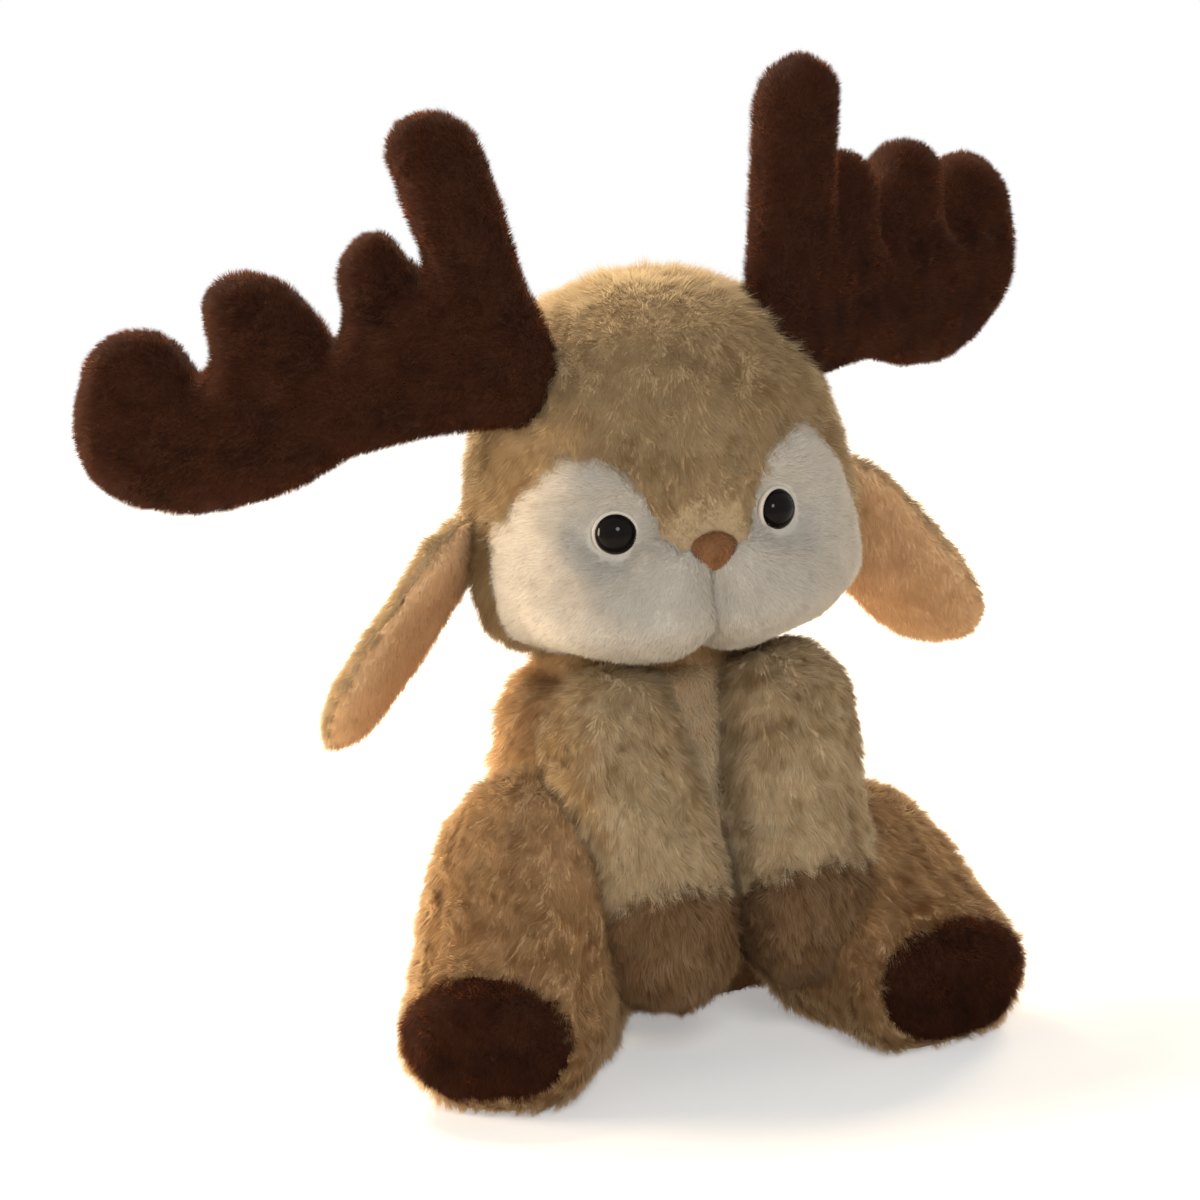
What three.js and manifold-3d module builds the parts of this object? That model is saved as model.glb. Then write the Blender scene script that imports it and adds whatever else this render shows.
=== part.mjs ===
// A seated plush deer: stuffed torso, head, arms and legs, moose-like antlers, drooping ears and plastic eyes.
// Millimetres, +Z up. The deer looks along -Y, and its left side is +X.
// The origin is on the floor, at the middle of the torso's flat seat.

import * as THREE from "three";
import { mergeVertices } from "three/addons/utils/BufferGeometryUtils.js";
import Module from "manifold-3d";

const wasm = await Module();
wasm.setup();

// General sizes
const gap = 0.3;
const armLegGap = 0.7;
const fabricWall = 3.5;
const seatCut = 0.5;
const overrun = 60;

// Torso
const torsoHeight = 124;
const torsoWidth = 118;
const torsoDepth = 98;
const chestWidth = 22;
const chestFoot = 58;
const chestTop = 108;
const crotchForward = 3;

// Head
const headBase = 124;
const headHeight = 119;
const headWidth = 120;
const headDepth = 104;
const headForward = 10;
const headLeft = 4;
const muzzleWidth = 92;
const muzzleHeight = 44;
const muzzleDepth = 62;
const muzzleForward = 38;
const muzzleUp = 146;

// Neck
const neckRadius = 24;
const neckHeight = 124;
const neckForward = 4;

// Face
const eyeSpacing = 54;
const eyeHeight = 174;
const eyeDiameter = 13.5;
const eyeDome = 5;
const rimDiameter = 16.5;
const rimThickness = 1.2;
const shankDiameter = 4;
const shankLength = 8;
const washerDiameter = 13;
const washerThickness = 1.4;
const noseHeight = 167.5;
const noseWidth = 16.5;
const noseTall = 13;
const noseDepth = 10;
const patchReach = 55;
const patchFoot = 112;
const patchTop = 205;
const patchSplit = 0.6;

// Antlers
const antlerSpread = 94;
const antlerHeight = 221;
const antlerForward = 24;
const antlerLength = 148;
const antlerRise = 84;
const antlerThickness = 22;

// Ears
const earSpread = 114;
const earHeight = 174;
const earForward = 0;
const earLength = 88;
const earWidth = 45;
const earThickness = 11;

// Arms
const armSpacing = 47;
const armTop = 120;
const armFoot = 24;
const armWidth = 45;
const armDepth = 46;
const shoulderForward = 31;
const pawForward = 62;
const pawLength = 24;

// Legs
const hipSpacing = 84;
const hipForward = 12;
const legLength = 84;
const legWidth = 60;
const legDepth = { left: 72, right: 94 };
const soleThickness = 8;

// Angles in degrees
const eyeTurn = 22;
const antlerSweep = 40;
const antlerSway = 8;
const antlerLift = { left: 8, right: 0 };
const earDroop = 36;
const earSweep = 12;
const earFacing = 50;
const earLift = 45;
const armSwing = 40;
const pawTilt = 35;
const legSplay = { left: 13, right: 39 };
const legSpread = 30;
const crotchSlope = 46;

// Mesh fineness: sides round a section, rings along a spine
const fine = { sides: 22, rings: 13 };
const medium = { sides: 16, rings: 10 };
const coarse = { sides: 12, rings: 8 };
const branch = { sides: 10, rings: 9 };
const core = { sides: 6, rings: 6 };
const domeSteps = 5;

// Places along and across, as shares
const overrunShare = 10;
const hingeShare = 0.1;
const shoulderShare = 0.2;
const antlerLiftShare = 0.12;
const turnSteps = 4;

// Shapes of the stuffed forms, as shares of the sizes above
const torsoShares = [
  [0.0, 0.9, 0.92],
  [0.2, 1.0, 1.0],
  [0.42, 0.98, 0.97],
  [0.66, 0.9, 0.88],
  [0.86, 0.78, 0.76],
  [1.0, 0.68, 0.66],
];
const headShares = [
  [0.0, 0.88, 0.86],
  [0.13, 0.97, 0.96],
  [0.3, 1.0, 1.0],
  [0.5, 0.97, 0.99],
  [0.69, 0.87, 0.93],
  [0.86, 0.73, 0.82],
  [1.0, 0.6, 0.68],
];
const armShares = [
  [0.0, 0.7, 0.7],
  [0.2, 0.9, 0.88],
  [0.45, 0.96, 0.94],
  [0.7, 1.0, 1.0],
  [1.0, 0.98, 0.98],
];
const legShares = [
  [0.0, 0.94, 0.97],
  [0.3, 1.0, 1.0],
  [0.65, 0.95, 0.77],
  [1.0, 0.88, 0.56],
];
const earShares = [
  [0.0, 0.72, 0.9],
  [0.3, 0.95, 1.0],
  [0.6, 1.0, 1.0],
  [0.85, 0.9, 0.95],
  [1.0, 0.72, 0.85],
];

// The antler's beam and tines, as shares of antlerLength out and antlerRise up, with half heights
// as shares of antlerRise. Each row is a station: out, up, half height.
const antlerBranchShares = {
  beam: [[-0.1, -0.03, 0.17], [0.14, 0.09, 0.27], [0.4, -0.09, 0.21], [0.7, -0.24, 0.26], [1.0, -0.18, 0.28]],
  tallTine: [[0.12, 0.1, 0.17], [0.06, 0.42, 0.165], [0.09, 0.72, 0.16], [0.14, 1.0, 0.165]],
  secondTine: [[0.25, -0.05, 0.17], [0.28, 0.25, 0.15], [0.29, 0.56, 0.13]],
  thirdTine: [[0.53, -0.3, 0.22], [0.555, 0.05, 0.2], [0.57, 0.42, 0.18]],
  farTine: [[0.8, -0.3, 0.22], [0.83, -0.05, 0.2], [0.86, 0.21, 0.17]],
};

// The white patch beside the nose, as shares of patchReach out and of the height from patchFoot to patchTop
const patchShares = [
  [0.0, 0.0], [0.0, 0.61], [0.13, 0.64], [0.25, 0.76], [0.38, 0.93], [0.56, 1.0], [0.75, 0.98],
  [0.92, 0.88], [1.02, 0.72], [1.06, 0.5], [1.1, 0.0],
];

// Colours and finishes
const cloth = (color) => new THREE.MeshStandardMaterial({ color, roughness: 0.95, metalness: 0 });
const tanPlush = cloth(0xb98f62);
const creamPlush = cloth(0xcdb48c);
const whitePlush = cloth(0xe9dfd0);
const peachPlush = cloth(0xe6b98a);
const brownPlush = cloth(0x4d2c19);
const pawPlush = cloth(0x8d6645);
const noseVelvet = cloth(0x6b432b);
const stuffingFibre = cloth(0xf2f0ea);
const blackPlastic = new THREE.MeshStandardMaterial({ color: 0x0b0908, roughness: 0.12, metalness: 0 });
const whitePlastic = new THREE.MeshStandardMaterial({ color: 0xe8e2d8, roughness: 0.4, metalness: 0 });

// A vector from the deer's left, forward and up
function place(left, forward, up) {
  return new THREE.Vector3(left, -forward, up);
}

// Solids from closed geometries, and back
function toSolid(geometry) {
  const bare = geometry.clone();
  bare.deleteAttribute("normal");
  bare.deleteAttribute("uv");
  const merged = mergeVertices(bare);
  const mesh = new wasm.Mesh({
    numProp: 3,
    vertProperties: new Float32Array(merged.attributes.position.array),
    triVerts: new Uint32Array(merged.index.array),
  });
  return new wasm.Manifold(mesh);
}

function toGeometry(solid) {
  const mesh = solid.getMesh();
  const geometry = new THREE.BufferGeometry();
  geometry.setAttribute("position", new THREE.BufferAttribute(new Float32Array(mesh.vertProperties), 3));
  geometry.setIndex(new THREE.BufferAttribute(new Uint32Array(mesh.triVerts), 1));
  geometry.computeVertexNormals();
  return geometry;
}

function joined(solids) {
  return solids.reduce((whole, next) => whole.add(next));
}

function cutBy(solid, cutters) {
  return cutters.reduce((rest, cutter) => rest.subtract(cutter), solid);
}

// A geometry placed by a matrix, as a solid
function placedSolid(geometry, matrix) {
  return toSolid(geometry.clone().applyMatrix4(matrix));
}

function ball(radius, centre) {
  const { sides, rings } = fine;
  return placedSolid(
    new THREE.SphereGeometry(radius, sides, rings),
    new THREE.Matrix4().makeTranslation(centre),
  );
}

// Half of space: a large block whose near face passes through a point, on the side that the normal points to
function halfSpace(point, normal) {
  const side = overrun * overrunShare;
  const turn = new THREE.Quaternion().setFromUnitVectors(new THREE.Vector3(0, 0, 1), normal.clone().normalize());
  const centre = point.clone().addScaledVector(normal.clone().normalize(), side / 2);
  const matrix = new THREE.Matrix4().compose(centre, turn, new THREE.Vector3(1, 1, 1));
  return placedSolid(new THREE.BoxGeometry(side, side, side), matrix);
}

// A stuffed form: sections swept along a smooth spine, with rounded ends.
// Each station has a point, a half width and a half depth. A positive inset gives the form inside a wall
// of that thickness, and a negative one the space that the form needs with a gap round it.
function stuffedForm({ stations, across, fineness, fullness = 2.2, ends = [0.2, 0.2], inset = 0 }) {
  const spine = new THREE.CatmullRomCurve3(stations.map((station) => station.point));
  const halves = new THREE.CatmullRomCurve3(
    stations.map((station) => new THREE.Vector3(station.halfWidth, station.halfDepth, 0)),
  );
  const trim = inset / spine.getLength();
  const { sides, rings } = fineness;
  const positions = [];
  const triangles = [];

  const spinePoint = (share) => {
    const inside = spine.getPoint(Math.min(Math.max(share, 0), 1));
    const beyond = Math.min(share, 0) + Math.max(share - 1, 0);
    return inside.addScaledVector(spine.getTangent(Math.round(share)), beyond * spine.getLength());
  };
  const endFactor = (share) => {
    const fromStart = Math.max(1 - share / ends[0], 0);
    const fromEnd = Math.max(1 - (1 - share) / ends[1], 0);
    return Math.sqrt(Math.max(1 - fromStart ** 2, 0) * Math.max(1 - fromEnd ** 2, 0));
  };
  const superellipse = (value) => Math.sign(value) * Math.abs(value) ** (2 / fullness);

  positions.push(...spinePoint(trim).toArray());
  for (let ring = 1; ring < rings; ring += 1) {
    const share = (1 - Math.cos((Math.PI * ring) / rings)) / 2;
    const along = trim + share * (1 - 2 * trim);
    const clamped = Math.min(Math.max(along, 0), 1);
    const half = halves.getPoint(clamped);
    const tangent = spine.getTangent(clamped);
    const wide = across.clone().addScaledVector(tangent, -across.dot(tangent)).normalize();
    const deep = new THREE.Vector3().crossVectors(tangent, wide);
    const factor = endFactor(share);
    const centre = spinePoint(along);
    for (let side = 0; side < sides; side += 1) {
      const angle = (2 * Math.PI * side) / sides;
      const point = centre.clone();
      point.addScaledVector(wide, factor * (half.x - inset) * superellipse(Math.cos(angle)));
      point.addScaledVector(deep, factor * (half.y - inset) * superellipse(Math.sin(angle)));
      positions.push(...point.toArray());
    }
  }
  positions.push(...spinePoint(1 - trim).toArray());

  const last = positions.length / 3 - 1;
  const vertex = (ring, side) => 1 + ring * sides + (side % sides);
  for (let side = 0; side < sides; side += 1) {
    triangles.push(0, vertex(0, side + 1), vertex(0, side));
    for (let ring = 0; ring < rings - 2; ring += 1) {
      triangles.push(vertex(ring, side), vertex(ring, side + 1), vertex(ring + 1, side + 1));
      triangles.push(vertex(ring, side), vertex(ring + 1, side + 1), vertex(ring + 1, side));
    }
    triangles.push(last, vertex(rings - 2, side), vertex(rings - 2, side + 1));
  }
  const geometry = new THREE.BufferGeometry();
  geometry.setAttribute("position", new THREE.BufferAttribute(new Float32Array(positions), 3));
  geometry.setIndex(triangles);
  return toSolid(geometry);
}

// Stations on a line or curve, from rows of shares: along, width and depth
function stationsFrom(shares, pointAt, width, depth) {
  return shares.map(([along, widthShare, depthShare]) => ({
    point: pointAt(along),
    halfWidth: (width / 2) * widthShare,
    halfDepth: (depth / 2) * depthShare,
  }));
}

// A copy of a solid turned about a line through a point
function turnedAbout(solid, point, axis, degrees) {
  const matrix = new THREE.Matrix4().makeTranslation(point);
  matrix.multiply(new THREE.Matrix4().makeRotationAxis(axis, THREE.MathUtils.degToRad(degrees)));
  matrix.multiply(new THREE.Matrix4().makeTranslation(point.clone().negate()));
  return placedSolid(toGeometry(solid), matrix);
}

// Room for a larger form as a piece sees it while it turns on its hinge from one angle to another
function sweptRoom(larger, hinge, from, to) {
  const angles = Array.from({ length: turnSteps + 1 }, (_, step) => from + ((to - from) * step) / turnSteps);
  return joined(angles.map((angle) => turnedAbout(larger, hinge.point, hinge.axis, -angle)));
}

// The outline's prism, with its outline in the plane across the deer and its length forward
function forwardPrism(outline, back, front) {
  const shape = new THREE.Shape(outline.map(([left, up]) => new THREE.Vector2(left, up)));
  const geometry = new THREE.ExtrudeGeometry(shape, { depth: front - back, bevelEnabled: false });
  geometry.rotateX(Math.PI / 2);
  geometry.translate(0, -back, 0);
  return toSolid(geometry);
}

// A turned solid about its own +Z from rows of radius and height, placed with +Z along a direction
function turned(profile, sides, point, direction) {
  const points = profile.map(([radius, height]) => new THREE.Vector2(radius, height));
  const geometry = new THREE.LatheGeometry(points, sides);
  geometry.rotateX(Math.PI / 2);
  const turn = new THREE.Quaternion().setFromUnitVectors(new THREE.Vector3(0, 0, 1), direction);
  return placedSolid(geometry, new THREE.Matrix4().compose(point, turn, new THREE.Vector3(1, 1, 1)));
}

// Where a line from straight ahead meets a solid
function frontPoint(solid, left, up) {
  const ahead = new THREE.Raycaster(place(left, headDepth * 2, up), place(0, -1, 0));
  return ahead.intersectObject(new THREE.Mesh(toGeometry(solid)))[0].point;
}

const object = new THREE.Group();

function addPiece(name, solid, material) {
  const mesh = new THREE.Mesh(toGeometry(solid), material);
  mesh.name = name;
  object.add(mesh);
}

const upward = new THREE.Vector3(0, 0, 1);
const leftward = new THREE.Vector3(1, 0, 0);
const sideSigns = { left: 1, right: -1 };
const belowFloor = halfSpace(place(0, 0, 0), upward.clone().negate());

// The three large forms, each at any inset. The torso's underside slopes up in front, between the legs.
function torsoForm(inset, fineness = fine) {
  const pointAt = (share) => place(0, 0, share * (torsoHeight + seatCut) - seatCut);
  const stations = stationsFrom(torsoShares, pointAt, torsoWidth, torsoDepth);
  const form = stuffedForm({ stations, across: leftward, fineness, ends: [0.17, 0.16], inset });
  const slope = THREE.MathUtils.degToRad(crotchSlope);
  const down = place(0, Math.sin(slope), -Math.cos(slope));
  return form.subtract(halfSpace(place(0, crotchForward, 0).addScaledVector(down, -inset), down));
}

// The head, with a muzzle that fills out its lower front
function headForm(inset, fineness = fine) {
  const pointAt = (share) => place(headLeft, headForward, headBase + share * headHeight);
  const stations = stationsFrom(headShares, pointAt, headWidth, headDepth);
  const skull = stuffedForm({ stations, across: leftward, fineness, ends: [0.16, 0.24], inset });
  const halves = [muzzleWidth, muzzleDepth, muzzleHeight].map((side) => side / 2 - inset);
  const muzzle = placedSolid(
    new THREE.SphereGeometry(1, fineness.sides, fineness.rings),
    new THREE.Matrix4().compose(
      place(0, muzzleForward, muzzleUp),
      new THREE.Quaternion(),
      new THREE.Vector3(...halves),
    ),
  );
  return skull.add(muzzle);
}

function legFrame(side) {
  const splay = THREE.MathUtils.degToRad(legSplay[side]);
  const sign = sideSigns[side];
  const hip = place((sign * hipSpacing) / 2, hipForward, 0);
  const outward = place(sign * Math.sin(splay), Math.cos(splay), 0);
  const axis = upward.clone().multiplyScalar(sign);
  const hinge = { point: place((sign * torsoWidth) / 2, -legWidth * hingeShare, 0), axis };
  return { hip, outward, hinge };
}

function legForm(side, inset, fineness = medium) {
  const { hip, outward } = legFrame(side);
  const pointAt = (share) => hip.clone().addScaledVector(outward, share * legLength);
  const across = new THREE.Vector3().crossVectors(outward, upward);
  const stations = stationsFrom(legShares, pointAt, legWidth, legDepth[side]);
  stations.forEach((station) => {
    station.point.z = station.halfDepth - seatCut;
  });
  return stuffedForm({ stations, across, fineness, ends: [0.22, 0.08], inset });
}

// The neck's room clears the corners of the ball's facets at every turn of the head
const facetShare = Math.cos(Math.PI / fine.sides) * Math.cos(Math.PI / (2 * fine.rings));
const neckCentre = place(0, neckForward, neckHeight);
const neckRoom = ball((neckRadius + gap) / facetShare, neckCentre);
const lining = fabricWall + gap;

// Torso: a cover, a cream chest panel let into it, and the stuffing
function addTorso() {
  const inner = torsoForm(fabricWall, medium);
  const shell = cutBy(torsoForm(0), [inner, belowFloor, neckRoom]);
  const chest = (room) => {
    const half = chestWidth / 2 + room;
    const foot = chestFoot - room;
    const top = chestTop + room;
    return forwardPrism([[-half, foot], [half, foot], [half, top], [-half, top]], 0, torsoDepth);
  };
  addPiece("torso_cover", shell.subtract(chest(gap)), tanPlush);
  addPiece("chest_panel", shell.intersect(chest(0)), creamPlush);
  addPiece("torso_stuffing", torsoForm(lining, medium).subtract(neckRoom), stuffingFibre);
  addPiece("neck_stuffing", ball(neckRadius, neckCentre), stuffingFibre);
}

// The eye's pieces and the room they need, on the face at a point, looking along a direction
function eyeParts(point, direction) {
  const { sides } = medium;
  const backOfRim = -gap - rimThickness;
  const dome = [];
  for (let step = 0; step <= domeSteps; step += 1) {
    const angle = ((Math.PI / 2) * step) / domeSteps;
    dome.push([(eyeDiameter / 2) * Math.cos(angle), eyeDome * Math.sin(angle)]);
  }
  const shank = shankDiameter / 2;
  const rim = rimDiameter / 2;
  const washer = washerDiameter / 2;
  const washerTop = backOfRim - gap * 2 - fabricWall;
  const washerFoot = washerTop - washerThickness;
  dome[domeSteps][0] = 0;
  const ring = (inner, outer, low, high) => [[inner, low], [outer, low], [outer, high], [inner, high], [inner, low]];
  const room = [
    [0, -shankLength - gap],
    [shank + gap, -shankLength - gap],
    [shank + gap, washerFoot - gap],
    [washer + gap, washerFoot - gap],
    [washer + gap, washerTop + gap],
    [shank + gap, washerTop + gap],
    [shank + gap, backOfRim - gap],
    [rim + gap, backOfRim - gap],
    [rim + gap, eyeDome],
    [0, eyeDome],
  ];
  return {
    eye: turned([[0, -shankLength], [shank, -shankLength], [shank, 0], ...dome], sides, point, direction),
    rim: turned(ring(shank + gap, rim, backOfRim, -gap), sides, point, direction),
    washer: turned(ring(shank + gap, washer, washerFoot, washerTop), sides, point, direction),
    room: turned(room, sides, point, direction),
  };
}

// The room that one side's white patch takes in the head's cover
function patchRoom(sign, room) {
  const outline = patchShares.map(([out, up]) => [
    sign * (patchSplit / 2 - room + out * (patchReach + room * 2)),
    patchFoot - room + up * (patchTop - patchFoot + room * 2),
  ]);
  const ordered = sign > 0 ? outline.reverse() : outline;
  return forwardPrism(ordered, headForward - room, headForward + headDepth);
}

// Antler: a beam with four rounded tines in an upright plane that sweeps back from the head
function antlerFrame(side) {
  const sign = sideSigns[side];
  const sweep = THREE.MathUtils.degToRad(antlerSweep);
  const root = place((sign * antlerSpread) / 2, antlerForward, antlerHeight);
  const outward = place(sign * Math.cos(sweep), -Math.sin(sweep), 0);
  const across = new THREE.Vector3().crossVectors(upward, outward);
  return { root, outward, across, hinge: { point: root, axis: across } };
}

function antlerForm(side, inset, fineness) {
  const { root, outward, across } = antlerFrame(side);
  const lift = Math.tan(THREE.MathUtils.degToRad(antlerLift[side]));
  const pointAt = (out, up) => {
    const rise = up * antlerRise + lift * Math.max(out - antlerLiftShare, 0) * antlerLength;
    return root.clone().addScaledVector(outward, out * antlerLength).addScaledVector(upward, rise);
  };
  const branches = Object.values(antlerBranchShares).map((rows) => {
    const stations = rows.map(([out, up, half]) => ({
      point: pointAt(out, up),
      halfWidth: antlerThickness / 2,
      halfDepth: half * antlerRise,
    }));
    const length = stations[0].point.distanceTo(stations.at(-1).point);
    const ends = [stations[0].halfDepth / length, stations.at(-1).halfDepth / length];
    return stuffedForm({ stations, across, fineness, fullness: 2, ends, inset });
  });
  return joined(branches);
}

// Ear: a flat stuffed lobe, its outer side in plush and its lining facing forward and down
function earFrame(side) {
  const sign = sideSigns[side];
  const droop = THREE.MathUtils.degToRad(earDroop);
  const facing = THREE.MathUtils.degToRad(earFacing);
  const root = place(headLeft + (sign * earSpread) / 2, earForward, earHeight);
  const back = -Math.tan(THREE.MathUtils.degToRad(earSweep)) * Math.cos(droop);
  const along = place(sign * Math.sin(droop), back, -Math.cos(droop)).normalize();
  const ahead = place(0, 1, 0);
  ahead.addScaledVector(along, -ahead.dot(along)).normalize();
  const inward = new THREE.Vector3().crossVectors(along, ahead).multiplyScalar(sign);
  const face = ahead.multiplyScalar(Math.cos(facing)).addScaledVector(inward, Math.sin(facing));
  const across = new THREE.Vector3().crossVectors(face, along);
  const hinge = { point: root.clone().addScaledVector(upward, earThickness), axis: place(0, sign, 0) };
  return { root, along, face, across, hinge };
}

function addEar(side, head) {
  const { root, along, face, across, hinge } = earFrame(side);
  const pointAt = (share) => root.clone().addScaledVector(along, share * earLength);
  const stations = stationsFrom(earShares, pointAt, earWidth, earThickness);
  const lobe = stuffedForm({ stations, across, fineness: coarse, ends: [0.12, 0.3] });
  const ear = lobe.subtract(sweptRoom(head, hinge, 0, earLift));
  const halfGap = face.clone().multiplyScalar(gap / 2);
  addPiece(`ear_${side}_back`, ear.subtract(halfSpace(root.clone().sub(halfGap), face)), tanPlush);
  addPiece(
    `ear_${side}_lining`,
    ear.subtract(halfSpace(root.clone().add(halfGap), face.clone().negate())),
    peachPlush,
  );
}

// Head: cover, two white patches, stuffing, eyes, nose, antlers and ears
function addHead() {
  const outer = headForm(0);
  const headRoom = headForm(-gap);
  const eyes = Object.entries(sideSigns).map(([side, sign]) => {
    const point = frontPoint(outer, (sign * eyeSpacing) / 2, eyeHeight);
    const turn = THREE.MathUtils.degToRad(eyeTurn);
    return { side, ...eyeParts(point, place(sign * Math.sin(turn), Math.cos(turn), 0)) };
  });
  const eyeRooms = eyes.map((eye) => eye.room);
  const shell = cutBy(outer, [headForm(fabricWall, medium), neckRoom, ...eyeRooms]);
  const patches = Object.entries(sideSigns).map(([side, sign]) => [side, patchRoom(sign, 0), patchRoom(sign, gap)]);
  addPiece("head_cover", cutBy(shell, patches.map((patch) => patch[2])), tanPlush);
  patches.forEach(([side, room]) => addPiece(`cheek_${side}`, shell.intersect(room), whitePlush));
  addPiece("head_stuffing", cutBy(headForm(lining, medium), [neckRoom, ...eyeRooms]), stuffingFibre);
  eyes.forEach(({ side, eye, rim, washer }) => {
    addPiece(`eye_${side}`, eye, blackPlastic);
    addPiece(`eye_${side}_rim`, rim, whitePlastic);
    addPiece(`eye_${side}_washer`, washer, whitePlastic);
  });

  const noseMatrix = new THREE.Matrix4().compose(
    frontPoint(outer, 0, noseHeight),
    new THREE.Quaternion(),
    new THREE.Vector3(noseWidth / 2, noseDepth / 2, noseTall / 2),
  );
  const nose = placedSolid(new THREE.SphereGeometry(1, coarse.sides, coarse.rings), noseMatrix);
  addPiece("nose", nose.subtract(headRoom), noseVelvet);

  Object.keys(sideSigns).forEach((side) => {
    const { hinge } = antlerFrame(side);
    const room = sweptRoom(headRoom, hinge, -antlerSway, antlerSway);
    const antler = antlerForm(side, 0, branch).subtract(antlerForm(side, fabricWall, core));
    addPiece(`antler_${side}_cover`, antler.subtract(room), brownPlush);
    addPiece(`antler_${side}_stuffing`, antlerForm(side, lining, core).subtract(room), stuffingFibre);
    addEar(side, headRoom);
  });
}

// A limb's cover is open at its root. Its far end is a piece of its own beyond a plane, and the stuffing
// fills both.
function addLimb({ name, endName, form, rooms, endPoint, endNormal, cover, end }) {
  const shell = cutBy(form(0, medium), [form(fabricWall, coarse), belowFloor, ...rooms]);
  const halfGap = endNormal.clone().multiplyScalar(gap / 2);
  const beyond = halfSpace(endPoint.clone().sub(halfGap), endNormal);
  const before = halfSpace(endPoint.clone().add(halfGap), endNormal.clone().negate());
  addPiece(`${name}_cover`, shell.subtract(beyond), cover);
  addPiece(`${name}_${endName}`, shell.subtract(before), end);
  addPiece(`${name}_stuffing`, cutBy(form(lining, coarse), [belowFloor, ...rooms]), stuffingFibre);
}

function addLeg(side, torsoRoom) {
  const { hip, outward, hinge } = legFrame(side);
  addLimb({
    name: `leg_${side}`,
    endName: "sole",
    form: (inset, fineness) => legForm(side, inset, fineness),
    rooms: [sweptRoom(torsoRoom, hinge, 0, legSpread)],
    endPoint: hip.clone().addScaledVector(outward, legLength - soleThickness),
    endNormal: outward,
    cover: tanPlush,
    end: brownPlush,
  });
}

function addArm(side, torsoRoom) {
  const sign = sideSigns[side];
  const left = (sign * armSpacing) / 2;
  const pointAt = (share) => {
    const forward = shoulderForward + share * (pawForward - shoulderForward);
    return place(left, forward, armTop - share * (armTop - armFoot));
  };
  const stations = stationsFrom(armShares, pointAt, armWidth, armDepth);
  const tilt = THREE.MathUtils.degToRad(pawTilt);
  const endNormal = place(0, Math.sin(tilt), -Math.cos(tilt));
  const hinge = {
    point: place(left, shoulderForward, armTop - armDepth * shoulderShare),
    axis: leftward.clone().negate(),
  };
  addLimb({
    name: `arm_${side}`,
    endName: "paw",
    form: (inset, fineness) => stuffedForm({ stations, across: leftward, fineness, ends: [0.2, 0.16], inset }),
    rooms: [torsoRoom, legForm(side, -armLegGap)].map((room) => sweptRoom(room, hinge, 0, armSwing)),
    endPoint: pointAt(1).addScaledVector(endNormal, -pawLength),
    endNormal,
    cover: creamPlush,
    end: pawPlush,
  });
}

addTorso();
addHead();
const torsoSpace = torsoForm(-gap);
Object.keys(sideSigns).forEach((side) => {
  addArm(side, torsoSpace);
  addLeg(side, torsoSpace);
});

export default object;
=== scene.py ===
"""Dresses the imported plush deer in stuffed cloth, combed pile and glossy eyes, on a plain stage."""

import math

import bmesh
import bpy
import numpy as np
from bpy.props import FloatProperty, FloatVectorProperty, IntProperty, PointerProperty
from mathutils import Matrix, Vector
from mathutils.kdtree import KDTree


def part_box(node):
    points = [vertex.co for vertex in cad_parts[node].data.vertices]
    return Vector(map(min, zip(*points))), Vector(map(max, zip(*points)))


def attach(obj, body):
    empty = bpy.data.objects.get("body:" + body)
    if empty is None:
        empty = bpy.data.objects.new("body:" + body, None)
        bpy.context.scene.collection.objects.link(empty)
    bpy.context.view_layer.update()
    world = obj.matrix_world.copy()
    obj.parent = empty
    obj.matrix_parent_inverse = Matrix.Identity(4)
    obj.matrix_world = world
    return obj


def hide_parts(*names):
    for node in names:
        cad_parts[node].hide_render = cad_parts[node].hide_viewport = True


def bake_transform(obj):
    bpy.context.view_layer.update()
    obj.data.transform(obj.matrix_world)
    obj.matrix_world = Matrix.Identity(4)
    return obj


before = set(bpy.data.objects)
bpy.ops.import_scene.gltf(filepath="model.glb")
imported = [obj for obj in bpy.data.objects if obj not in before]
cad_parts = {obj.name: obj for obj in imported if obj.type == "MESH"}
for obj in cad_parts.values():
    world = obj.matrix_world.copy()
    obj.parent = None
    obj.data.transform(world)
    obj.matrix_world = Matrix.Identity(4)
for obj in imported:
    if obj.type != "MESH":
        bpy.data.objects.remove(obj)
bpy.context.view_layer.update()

bl_info = {
    "name": "Plush deer",
    "version": (1, 0, 0),
    "blender": (4, 5, 0),
    "location": "3D View > Sidebar > Plush Deer",
    "description": "Builds the cloth, the pile and the stage round the packed plush deer",
    "category": "Add Mesh",
}

MM = 0.001
BAKE_MAP = "OFBake"
SIDES = {"left": 1, "right": -1}
TINY = 1e-12
SHORTEST = 1e-9
NUDGE = 1e-6  # keeps an upright strand from losing its width

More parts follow.
